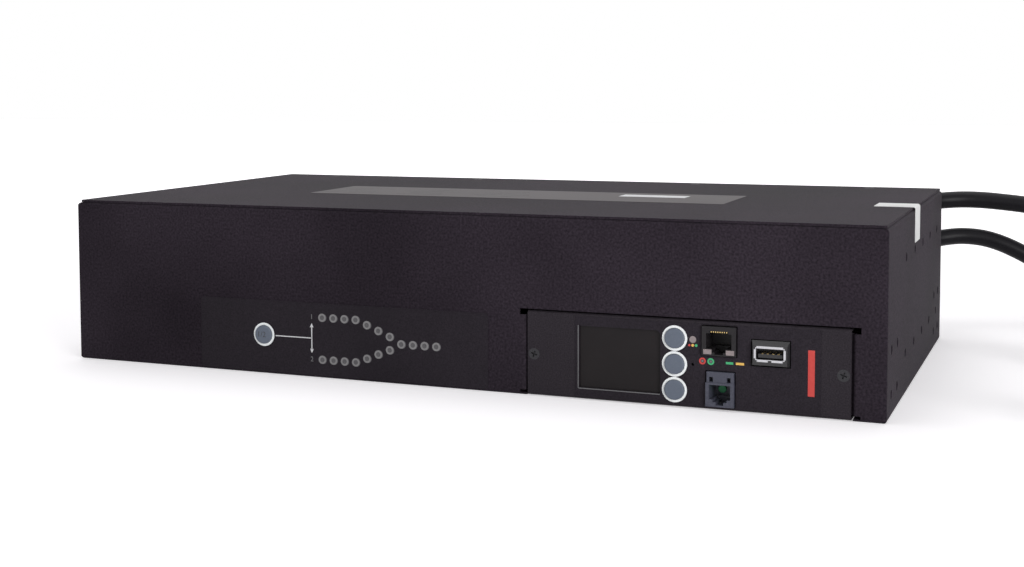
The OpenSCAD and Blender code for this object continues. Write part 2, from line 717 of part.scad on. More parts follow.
serial_body_z1 = serial_z0 + 11.2;
serial_cut_w = 9.9;
serial_cut_z0 = serial_z0 + 3.4;
serial_cut_h = 6.8;
module serial_jack() color("#8b8e99") difference() {
    union() {
        block([serial_x - serial_w / 2, serial_x + serial_w / 2], [front - serial_rise, front + jack_d - 3],
            [serial_z0, serial_body_z1]);
        block([serial_x - serial_w / 2 + 0.4, serial_x + serial_w / 2 - 0.1],
            [front - serial_rise + 0.5, front + jack_d - 3], [serial_body_z1 - 1, serial_z0 + serial_h]);
        block([serial_x - serial_w / 2 + 0.4, serial_x + serial_w / 2 - 0.4],
            [front + sheet + 1, front + jack_d - 3], [serial_z0 + serial_h - 1, controller_z - board_t]);
    }
    block([serial_x - serial_cut_w / 2, serial_x + serial_cut_w / 2],
        [front - serial_rise - 1, front + jack_d - 6], [serial_cut_z0, serial_cut_z0 + serial_cut_h]);
    block([serial_x - 3.3, serial_x + 3.3], [front - serial_rise - 1, front + jack_d - 8],
        [serial_z0 + 2.2, serial_z0 + 5]);
    block([serial_x - 1.8, serial_x + 1.8], [front - serial_rise - 1, front + jack_d - 8],
        [serial_z0 + 0.8, serial_z0 + 3]);
    for (side = [-1, 1])
        block([serial_x + side * 4.1 - 0.9, serial_x + side * 4.1 + 0.9],
            [front - serial_rise - 1, front + 3], [serial_body_z1 + 0.3, serial_body_z1 + 2.6]);
}

// Spring contacts: a row in each socket, and strips on the tongue of the USB socket.
module jack_contacts() color("#d7b25a") {
    contact_z = net_cut_z0 + net_cut_h + 0.4;
    for (i = [0:7]) {
        x = net_x + (i - 3.5) * contact_pitch;
        block([x - 0.22, x + 0.22], [front - net_rise + 0.4, front + jack_d - 6],
            [contact_z, contact_z + 0.6]);
    }
    serial_contact_z = serial_cut_z0 + serial_cut_h - 0.5;
    for (i = [0:5]) {
        x = serial_x + (i - 2.5) * contact_pitch;
        block([x - 0.22, x + 0.22], [front + 1, front + jack_d - 6],
            [serial_contact_z, serial_contact_z + 0.5]);
    }
    for (i = [0:3]) {
        x = usb_x + (i - 1.5) * 2.4;
        block([x - 0.5, x + 0.5], [usb_face + 1.6, usb_face + 9], [tongue_z1, tongue_z1 + 0.15]);
    }
}

// USB socket: sheet-metal shell with turned-out lips in a chamfered bezel, tongue in its lower half.
usb_face = front - usb_rise;
shell_w = 13.2;
shell_h = 5.8;
shell_t = 0.35;
shell_l = 14;
tongue_z0 = usb_z - 1.9;
tongue_z1 = tongue_z0 + 1.7;
module usb_bezel() color(black) difference() {
    intersection() {
        translate([0, 0, usb_z - usb_h]) linear_extrude(usb_h * 2) polygon([
            [usb_x - usb_w / 2, front + 4], [usb_x - usb_w / 2, front - film],
            [usb_x - usb_w / 2 + 0.8, usb_face], [usb_x + usb_w / 2 - 0.8, usb_face],
            [usb_x + usb_w / 2, front - film], [usb_x + usb_w / 2, front + 4]]);
        along_x(usb_x - usb_w, usb_x + usb_w) polygon([
            [front + 4, usb_z - usb_h / 2], [front - film, usb_z - usb_h / 2],
            [usb_face, usb_z - usb_h / 2 + 0.6], [usb_face, usb_z + usb_h / 2 - 2],
            [front - film, usb_z + usb_h / 2], [front + 4, usb_z + usb_h / 2]]);
    }
    block([usb_x - shell_w / 2, usb_x + shell_w / 2], [usb_face - 1, front + 5],
        [usb_z - shell_h / 2, usb_z + shell_h / 2]);
}
module usb_shell() color(steel) difference() {
    union() {
        block([usb_x - shell_w / 2, usb_x + shell_w / 2], [usb_face, usb_face + shell_l],
            [usb_z - shell_h / 2, usb_z + shell_h / 2]);
        for (side = [-1, 1]) {
            block([usb_x + side * shell_w / 4 - 2.5, usb_x + side * shell_w / 4 + 2.5],
                [usb_face - 0.4, usb_face], [usb_z - shell_h / 2 - 0.7, usb_z + shell_h / 2]);
            block([usb_x + side * (shell_w / 2 + 0.05) - 0.55, usb_x + side * (shell_w / 2 + 0.05) + 0.55],
                [usb_face - 0.4, usb_face], [usb_z - shell_h / 2 + 0.8, usb_z + shell_h / 2 - 0.8]);
            block([usb_x + side * (shell_w / 2 - 1) - 0.6, usb_x + side * (shell_w / 2 - 1) + 0.6],
                [usb_face + 8, usb_face + 11], [controller_z, usb_z - shell_h / 2 + 0.1]);
        }
        block([usb_x - shell_w / 2 + 0.6, usb_x + shell_w / 2 - 0.6], [usb_face - 0.4, usb_face],
            [usb_z, usb_z + shell_h / 2 + 0.7]);
    }
    block([usb_x - shell_w / 2 + shell_t, usb_x + shell_w / 2 - shell_t],
        [usb_face - 1, usb_face + shell_l - shell_t],
        [usb_z - shell_h / 2 + shell_t, usb_z + shell_h / 2 - shell_t]);
}
module usb_tongue() color("#4a4a4c") {
    block([usb_x - 5.5, usb_x + 5.5], [usb_face + 1.2, usb_face + 10], [tongue_z0, tongue_z1]);
    block([usb_x - shell_w / 2 + shell_t, usb_x + shell_w / 2 - shell_t],
        [usb_face + 10, usb_face + shell_l - shell_t],
        [usb_z - shell_h / 2 + shell_t, usb_z + shell_h / 2 - shell_t]);
}

module board_chips() color("#1b1b1d") {
    chip_y = front + 34;
    for (c = [[0.16, 14, 14, 1.4], [0.36, 20, 20, 2], [0.58, 12, 16, 1.4], [0.8, 10, 10, 6]])
        translate([controller_x0 + c[0] * (controller_x1 - controller_x0), chip_y, controller_z])
            block([-c[1] / 2, c[1] / 2], [-c[2] / 2, c[2] / 2], [0, c[3]]);
    for (c = [[0.45, 24, 10, 3], [0.62, 16, 8, 2.4], [0.74, 12, 18, 2.4]])
        translate([power_x0 + c[0] * power_w, power_y0 + 18, power_top])
            block([-c[1] / 2, c[1] / 2], [-c[2] / 2, c[2] / 2], [0, c[3]]);
}

// ---- Power board ----

power_posts = [for (x = [power_x0 + 8, power_x0 + power_w / 2, power_x0 + power_w - 8],
    y = [power_y0 + 6, power_y0 + power_d - 6]) [x, y]];
module power_board() color(pcb) difference() {
    block([power_x0, power_x0 + power_w], [power_y0, power_y0 + power_d], [power_z, power_top]);
    for (p = power_posts) translate([p.x, p.y, power_z - 1]) cylinder(d = 3.2, h = board_t + 2);
}

// Pieces that stand on the power board, as shares of its width and depth.
module on_power(u, v) translate([power_x0 + u * power_w, power_y0 + v * power_d, power_top]) children();

module transfer_relays() color("#24262b") for (i = [0:3], v = [0.34, 0.7]) on_power(0.36 + i * 0.115, v)
    difference() {
        translate([-14, -11, 0]) cube([28, 22, 26]);
        for (x = [-1, 1], y = [-1, 1]) translate([x * 14, y * 11, 25.5]) cube([2, 2, 3], center = true);
    }

module supply_transformers() for (v = [0.34, 0.72]) on_power(0.13, v) {
    color("#55565a") difference() {
        translate([-21, -9, 3]) cube([42, 18, 35]);
        for (side = [-1, 1]) translate([side * 11.5 - 4.5, -10, 9]) cube([9, 20, 23]);
    }
    color("#c98d3f") difference() {
        translate([-15.5, -14, 9.5]) cube([31, 28, 22]);
        translate([-7, -9, 0]) cube([14, 18, 60]);
        for (side = [-1, 1]) translate([side * 20 - 4, -9, 0]) cube([8, 18, 60]);
    }
    color("#222225") difference() {
        translate([-17, -13, 0]) cube([34, 26, 3]);
        translate([-12, -8, -1]) cube([24, 16, 2]);
    }
}

module filter_capacitors() {
    color("#c2a23a") for (i = [0:3]) on_power(0.27, 0.2 + i * 0.2)
        translate([-4.5, -13, 0]) cube([9, 20, 18]);
    color("#2f3440") for (i = [0:1]) on_power(0.035, 0.3 + i * 0.44) difference() {
        cylinder(d = 18, h = 30);
        translate([0, 0, 29.6]) cylinder(d = 14, h = 1);
    }
}

module current_sensors() color("#3c5a8c") for (v = [0.32, 0.72]) on_power(0.81, v) translate([0, 0, 12])
    rotate([0, 90, 0]) difference() {
        union() {
            cylinder(d = 24, h = 9, center = true);
            translate([0, -8, -4.5]) cube([12, 16, 9]);
        }
        cylinder(d = 10, h = 11, center = true);
    }

block_w = 26;
module terminal_blocks() color("#3a6e49") for (v = [0.3, 0.7]) on_power(0.93, v) difference() {
    translate([-8, -block_w / 2, 0]) cube([16, block_w, 18]);
    for (i = [-1:1]) {
        translate([0, i * 8, 12]) cylinder(d = 5, h = 7);
        translate([0, i * 8, 6]) rotate([0, 90, 0]) cylinder(d = 5, h = 9);
    }
}

module post(at, h, d = 6) translate(at) difference() {
    cylinder(d = d, h = h, $fn = 6);
    translate([0, 0, -1]) cylinder(d = 2.4, h = h + 2);
}
module board_standoffs() color(steel) {
    for (p = power_posts) post([p.x, p.y, sheet], power_z - sheet);
    for (p = controller_posts)
        post([p.x, p.y, tray_z0 + tray_t], controller_z - board_t - tray_z0 - tray_t);
    for (p = button_board_posts())
        translate([p.x, button_board_y, p.y]) rotate([90, 0, 0]) difference() {
            cylinder(d = spacer_d, h = button_board_y - front - sheet);
            translate([0, 0, -1]) cylinder(d = 1.8, h = 5);
        }
    for (x = led_stud_x, z = [led_board_z0 + 3, led_board_z1 - 3])
        translate([x, led_board_y, z]) rotate([90, 0, 0]) difference() {
            cylinder(d = spacer_d + 1, h = led_board_y - front - sheet, $fn = 6);
            translate([0, 0, -1]) cylinder(d = 2.2, h = 6);
        }
}

module board_screw(d) {
    cylinder(d = d * 2, h = 1.6);
    translate([0, 0, -3.2]) cylinder(d = d, h = 3.3);
}
module board_screws() color(steel) {
    for (p = power_posts) translate([p.x, p.y, power_top]) board_screw(2.4);
    for (p = controller_posts) translate([p.x, p.y, controller_z]) board_screw(2.4);
    for (p = button_board_posts())
        translate([p.x, button_board_y + button_board_t, p.y]) rotate([-90, 0, 0]) board_screw(1.8);
    for (x = led_stud_x, z = [led_board_z0 + 3, led_board_z1 - 3])
        translate([x, led_board_y + board_t, z]) rotate([-90, 0, 0]) board_screw(2.2);
}

// Flat cables from the power board to the light board and to the controller, with a housing at each end.
ribbon_t = 1;
module housing(x, y, z, w) block([x - w / 2, x + w / 2], [y - 3, y + 3], [z, z + 6]);
module ribbon_cables() color("#8f9196") {
    plug_y = led_board_y + board_t;
    board_y = power_y0 + 14;
    for (run = [[led_board_x0 + 34, plug_y + 3, 28], [controller_x0 + 22, controller_y1 - 5, controller_z]]) {
        along_x(run[0] - 11, run[0] + 11) folded([[board_y, power_top + 6], [board_y, run[2] + 3],
            [run[1] + 3, run[2] + 3]], ribbon_t, 1.5);
        housing(run[0], board_y, power_top, 24);
        housing(run[0], run[1], run[2], 24);
    }
}

// Leads inside the case: each cord's sheath through its strain relief, and three cores to a terminal block.
lead_d = 3.2;
sheath_y = back - 22;
module power_leads() color("#26262a") {
    for (k = [0, 1]) {
        z = k == 0 ? cord_high_z : cord_low_z;
        v = k == 0 ? 0.7 : 0.3;
        rod_y(cord_x, z, cord_d, sheath_y, back + relief_l);
        end_x = power_x0 + 0.93 * power_w + 8;
        end_y = power_y0 + v * power_d;
        for (i = [-1:1]) {
            a = [cord_x + i * 3.4, sheath_y + 1, z];
            b = [end_x - 2, end_y - i * 8, power_top + 6];
            tube([for (k = [0:6]) bezier(a, a - [0, 44, 0], b + [44, 0, 0], b, k / 6)], lead_d, 6);
        }
    }
}

// ---- Rear ----

outlet_depth = 12;
function outlet_places(side) = [for (c = [0:outlet_columns - 1], r = [-0.5, 0.5])
    [bank_x[side] + (c - (outlet_columns - 1) / 2) * outlet_dx, bank_z + r * outlet_dz]];

// Slots of one outlet: an upright slot, a slot with a side branch, and a round earth hole below.
module outlet_slots() {
    translate([5.6, 0, 3]) cube([1.9, 40, 8], center = true);
    translate([-6.35, 0, 3]) cube([1.9, 40, 8.8], center = true);
    translate([-4.4, 0, 3]) cube([4, 40, 1.9], center = true);
    rotate([90, 0, 0]) translate([0, -7.4, 0]) cylinder(d = 5, h = 40, center = true);
}
module bank(side) color("#1e1d20") difference() {
    union() {
        block([bank_x[side] - bank_w / 2, bank_x[side] + bank_w / 2], [back - bank_depth, back],
            [bank_z - bank_h / 2, bank_z + bank_h / 2]);
        translate([bank_x[side], 0, bank_z]) along_y(back, back + bank_lip)
            rounded_rect(bank_w + 5, bank_h + 5, 2);
    }
    for (p = outlet_places(side)) {
        translate([p.x, back + bank_lip, p.y]) {
            rotate([90, 0, 0]) linear_extrude(0.8, center = true) rounded_rect(27, 29, 2.5);
            intersection() {
                outlet_slots();
                translate([-20, -outlet_depth - bank_lip, -20]) cube([40, outlet_depth + bank_lip + 1, 40]);
            }
        }
        for (c = contact_places) block([p.x + c.x - 2.4, p.x + c.x + 2.4],
            [back - bank_depth - 1, back - outlet_depth], [p.y + c.y - 3.4, p.y + c.y + 3.4]);
    }
}
contact_places = [[5.6, 3], [-6.35, 3], [0, -7.4]];
module outlet_bank_left() bank(0);
module outlet_bank_right() bank(1);

// Contact clips behind the slots, each a folded strip in its pocket.
module outlet_contacts() color("#c9a257") {
    for (side = [0, 1], p = outlet_places(side), c = contact_places)
        translate([p.x + c.x, 0, p.y + c.y]) difference() {
            block([-2.4, 2.4], [back - bank_depth + 1, back - outlet_depth], [-3, 3]);
            block([-1.1, 1.1], [back - bank_depth + 3, back - outlet_depth + 1], [-4, 4]);
        }
    for (turn = [90, 210, 330]) translate([lock_x, 0, lock_z]) rotate([0, turn, 0])
        difference() {
            block([8, 14], [back - 20, back - 13], [-4, 4]);
            block([9.8, 12.2], [back - 18, back - 12], [-5, 5]);
        }
}

// Locking outlet: a round face with three curved slots.
module curved_slot(r, w, sweep) intersection() {
    difference() {
        circle(r + w / 2);
        circle(r - w / 2);
    }
    polygon([[0, 0], [40, -40 * tan(sweep / 2)], [40, 40 * tan(sweep / 2)]]);
}
module locking_outlet() color("#1e1d20") difference() {
    union() {
        rod_y(lock_x, lock_z, lock_d, back - 20, back);
        rod_y(lock_x, lock_z, lock_d + 5, back, back + 2);
    }
    for (turn = [90, 210, 330]) translate([lock_x, back + 3, lock_z]) rotate([90, 0, 0]) rotate([0, 0, turn])
        linear_extrude(16) curved_slot(11, 2.2, turn == 90 ? 52 : 40);
    for (turn = [90, 210, 330]) translate([lock_x, 0, lock_z]) rotate([0, turn, 0])
        block([8, 14], [back - 21, back - 13], [-4, 4]);
    rod_y(lock_x, lock_z, 8, back + 1.2, back + 3);
}

module ground_stud() color("#c9a257") {
    rod_y(stud_x, stud_z, 5, back - 6, back + 12);
    translate([stud_x, back, stud_z]) rotate([90, 0, 0]) difference() {
        union() {
            translate([0, 0, sheet]) cylinder(d = 9, h = 3, $fn = 6);
            translate([0, 0, -4.4]) cylinder(d = 9, h = 3.4, $fn = 6);
            translate([0, 0, -1]) cylinder(d = 11, h = 1);
        }
        cylinder(d = 5, h = 30, center = true);
    }
}

// Strain relief along Y: a thread through the panel, a flange and a tapered ribbed boot.
module strain_relief() rotate([-90, 0, 0]) rotate_extrude() difference() {
    union() {
        translate([0, -sheet - relief_thread_l]) square([relief_thread_d / 2, relief_thread_l + sheet]);
        square([relief_d / 2, relief_flange]);
        polygon([[0, relief_flange], [8.6, relief_flange], [7.4, relief_l - 1], [6.8, relief_l],
            [0, relief_l]]);
    }
    translate([0, -40]) square([cord_d / 2 + 0.05, 100]);
    for (i = [0:3]) translate([7.5, relief_flange + 6 + i * 5]) square([3, 1.6]);
}
module strain_reliefs() color("#1b1a1c")
    for (z = [cord_high_z, cord_low_z]) translate([cord_x, back, z]) strain_relief();
module relief_nuts() color("#1b1a1c")
    for (z = [cord_high_z, cord_low_z]) translate([cord_x, back - sheet, z]) rotate([90, 0, 0]) difference() {
        cylinder(d = relief_d + 2, h = nut_t, $fn = 6);
        translate([0, 0, -1]) cylinder(d = relief_thread_d + 0.2, h = nut_t + 2);
    }

// ---- Cords ----

module cord_a() color("#1b1a1c") {
    tube(route_a, cord_d, cord_sides);
    tube(tail_a, cord_d, cord_sides);
}
module cord_b() color("#1b1a1c") {
    tube(route_b, cord_d, cord_sides);
    tube(tail_b, cord_d, cord_sides);
}

strap_w = 14;
strap_t = 1.2;
module coil_ring(at, mid_r) {
    w = coil_width * cord_d;
    h = coil_layers * cord_d;
    translate([at.x, at.y, 0]) rotate_extrude()
        translate([mid_r, h / 2]) rounded_rect(w, h, cord_d / 2 - 0.01);
}
module strap(at, mid_r, angle) translate([at.x, at.y, 0]) rotate([0, 0, angle])
    difference() {
        block([mid_r - coil_width * cord_d / 2 - strap_t, mid_r + coil_width * cord_d / 2 + strap_t],
            [-strap_w / 2, strap_w / 2], [0, coil_layers * cord_d + strap_t]);
        block([mid_r - coil_width * cord_d / 2 + 0.6, mid_r + coil_width * cord_d / 2 - 0.6],
            [-strap_w, strap_w], [strap_t, coil_layers * cord_d]);
    }
strap_angle = 200;
module coil_a() color("#1b1a1c") difference() {
    coil_ring(coil_a_at, coil_a_r);
    strap(coil_a_at, coil_a_r, strap_angle);
}
module coil_b() color("#1b1a1c") difference() {
    coil_ring(coil_b_at, coil_b_r);
    strap(coil_b_at, coil_b_r, strap_angle);
}
module coil_ties() color("#2a2a2e") {
    strap(coil_a_at, coil_a_r, strap_angle);
    strap(coil_b_at, coil_b_r, strap_angle);
}

// Locking plug lying on its side: it rests along its tapered body, its face towards -X.
plug_tail_r = 9;
plug_lean = atan((plug_d / 2 - plug_tail_r) / plug_l);
blade_l = 17;
module plug_frame(tail) translate(tail[len(tail) - 1])
    rotate([0, plug_lean, 0]) rotate([0, -90, 0]) children();
module plug(tail) color("#1b1a1c") plug_frame(tail) rotate_extrude() polygon([
    [0, 0], [plug_tail_r - 1, 0], [plug_tail_r, 1], [plug_d / 2, plug_l - 0.01], [plug_d / 2 - 1.5, plug_l],
    [0, plug_l]]);
module plug_a() plug(tail_a);
module plug_b() plug(tail_b);
module plug_blades() color(steel) for (tail = [tail_a, tail_b]) plug_frame(tail)
    for (turn = [0, 120, 240]) rotate([0, 0, turn]) translate([0, 0, plug_l])
        difference() {
            linear_extrude(blade_l) curved_slot(11, 1.6, 36);
            if (turn > 0) translate([8, 0, blade_l - 9]) cube([8, 8, 4]);
        }

chassis();
top_cover();
rear_panel();
case_screws();
top_label();
seal_label();
front_film();
path_lenses();
path_leds();
led_board();
preference_button();
preference_ring();
button_switches();
module_panel();
module_tray();
module_film();
display_window();
display_module();
upper_button();
middle_button();
lower_button();
menu_rings();
button_board();
controller_board();
panel_lamps();
network_jack();
jack_contacts();
usb_bezel();
usb_shell();
usb_tongue();
serial_jack();
reset_plunger();
board_chips();
power_board();
transfer_relays();
supply_transformers();
filter_capacitors();
current_sensors();
terminal_blocks();
board_standoffs();
board_screws();
ribbon_cables();
power_leads();
outlet_bank_left();
outlet_bank_right();
outlet_contacts();
locking_outlet();
ground_stud();
strain_reliefs();
relief_nuts();
cord_a();
cord_b();
coil_a();
coil_b();
plug_a();
plug_b();
plug_blades();
coil_ties();
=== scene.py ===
"""Looks of the rack transfer switch: finishes, printed marks, painted highlight lines, wound cords, floor,
lamps and camera.
"""

import math

import bpy
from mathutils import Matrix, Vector


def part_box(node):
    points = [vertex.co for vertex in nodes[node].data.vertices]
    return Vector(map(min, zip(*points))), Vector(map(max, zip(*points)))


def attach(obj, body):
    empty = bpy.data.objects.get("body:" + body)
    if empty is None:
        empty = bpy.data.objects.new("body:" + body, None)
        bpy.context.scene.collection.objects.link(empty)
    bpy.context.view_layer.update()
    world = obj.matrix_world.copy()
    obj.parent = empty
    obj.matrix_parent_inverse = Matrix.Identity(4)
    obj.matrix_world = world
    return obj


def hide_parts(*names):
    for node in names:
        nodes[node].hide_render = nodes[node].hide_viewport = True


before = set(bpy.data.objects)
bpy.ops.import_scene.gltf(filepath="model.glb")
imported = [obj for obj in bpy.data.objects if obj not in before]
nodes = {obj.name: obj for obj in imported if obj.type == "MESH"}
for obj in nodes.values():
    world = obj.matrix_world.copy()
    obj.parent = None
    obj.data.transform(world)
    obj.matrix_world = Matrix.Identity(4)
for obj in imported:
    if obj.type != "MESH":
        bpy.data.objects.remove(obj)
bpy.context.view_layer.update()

MM = 0.001
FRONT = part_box("chassis")[0][1]
FILM_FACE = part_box("front_film")[0][1]
MODULE_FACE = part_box("module_film")[0][1]


# ---- Camera ----

def place_camera():
    """Looks at the front from the right, a little from above."""
    lens = bpy.data.cameras.new("camera")
    lens.sensor_width = 36
    lens.lens = 53.25
    lens.shift_x = 0.07
    lens.shift_y = -0.1
    lens.clip_start = 0.01
    lens.clip_end = 20
    camera = bpy.data.objects.new("camera", lens)
    camera.location = (0.3, -0.8027, 0.1535)
    camera.rotation_euler = (math.pi / 2 - 0.0676, 0.006, 0.4112)
    bpy.context.scene.collection.objects.link(camera)
    bpy.context.scene.camera = camera


# ---- Node groups and materials ----

def new_group(name, inputs, outputs):
    """An empty shader group with named sockets."""
    group = bpy.data.node_groups.new(name, "ShaderNodeTree")
    kinds = {"color": "NodeSocketColor", "value": "NodeSocketFloat", "vector": "NodeSocketVector"}
    for socket, kind in inputs:
        group.interface.new_socket(socket, in_out="INPUT", socket_type=kinds[kind])
    for socket, kind in outputs:
        group.interface.new_socket(socket, in_out="OUTPUT", socket_type=kinds[kind])
    return group, group.nodes.new("NodeGroupInput"), group.nodes.new("NodeGroupOutput")


def math_node(tree, operation, first, second):
    """A Math node; each operand is a socket or a number."""
    node = tree.nodes.new("ShaderNodeMath")
    node.operation = operation
    for slot, value in enumerate((first, second)):
        if isinstance(value, (int, float)):
            node.inputs[slot].default_value = value
        else:
            tree.links.new(value, node.inputs[slot])
    return node.outputs[0]


def noise_node(tree, vector, scale, detail):
    """A Noise texture; scale is a socket or a number."""
    node = tree.nodes.new("ShaderNodeTexNoise")
    node.inputs["Detail"].default_value = detail
    tree.links.new(vector, node.inputs["Vector"])
    if isinstance(scale, (int, float)):
        node.inputs["Scale"].default_value = scale
    else:
        tree.links.new(scale, node.inputs["Scale"])
    return node.outputs["Fac"]


def mix_colors(tree, factor, first, second):
    """Mixes two colour sockets or colours."""
    node = tree.nodes.new("ShaderNodeMix")
    node.data_type = "RGBA"
    tree.links.new(factor, node.inputs["Factor"])
    for socket, value in ((node.inputs[6], first), (node.inputs[7], second)):
        if isinstance(value, tuple):
            socket.default_value = value
        else:
            tree.links.new(value, socket)
    return node.outputs[2]


def build_grain_group():
    """Fine surface grain: speckled colour, uneven gloss and a bump."""
    group, inside, outside = new_group(
        "Surface grain",
        [("Vector", "vector"), ("Color", "color"), ("Speck Color", "color"), ("Grain Scale", "value"),
         ("Grain Depth", "value"), ("Roughness", "value"), ("Roughness Spread", "value")],
        [("Color", "color"), ("Roughness", "value"), ("Normal", "vector")])
    fine = noise_node(group, inside.outputs["Vector"], inside.outputs["Grain Scale"], 2)
    drift = noise_node(group, inside.outputs["Vector"], 9, 3)
    speck = math_node(group, "MULTIPLY", fine, drift)
    speck = math_node(group, "MULTIPLY", speck, 1.8)
    group.links.new(mix_colors(group, speck, inside.outputs["Color"], inside.outputs["Speck Color"]),
                    outside.inputs["Color"])
    spread = math_node(group, "MULTIPLY", math_node(group, "SUBTRACT", drift, 0.5),
                       inside.outputs["Roughness Spread"])
    group.links.new(math_node(group, "ADD", inside.outputs["Roughness"], spread),
                    outside.inputs["Roughness"])
    bump = group.nodes.new("ShaderNodeBump")
    bump.inputs["Strength"].default_value = 1
    group.links.new(fine, bump.inputs["Height"])
    group.links.new(inside.outputs["Grain Depth"], bump.inputs["Distance"])
    group.links.new(bump.outputs["Normal"], outside.inputs["Normal"])
    return group


GRAIN = build_grain_group()


def finish(name, color, speck, grain, depth, roughness, spread=0.1, metallic=0.0, coat=0.0, specular=0.5):
    """A material on Object coordinates; grain is lumps per metre and depth their height in millimetres."""
    material = bpy.data.materials.new(name)
    material.use_nodes = True
    tree = material.node_tree
    shader = tree.nodes["Principled BSDF"]
    shader.inputs["Metallic"].default_value = metallic
    shader.inputs["Coat Weight"].default_value = coat
    shader.inputs["Specular IOR Level"].default_value = specular
    group = tree.nodes.new("ShaderNodeGroup")
    group.node_tree = GRAIN
    group.inputs["Color"].default_value = (*color, 1)
    group.inputs["Speck Color"].default_value = (*speck, 1)
    group.inputs["Grain Scale"].default_value = grain
    group.inputs["Grain Depth"].default_value = depth * MM
    group.inputs["Roughness"].default_value = roughness
    group.inputs["Roughness Spread"].default_value = spread
    place = tree.nodes.new("ShaderNodeTexCoord")
    tree.links.new(place.outputs["Object"], group.inputs["Vector"])
    tree.links.new(group.outputs["Color"], shader.inputs["Base Color"])
    tree.links.new(group.outputs["Roughness"], shader.inputs["Roughness"])
    tree.links.new(group.outputs["Normal"], shader.inputs["Normal"])
    return material


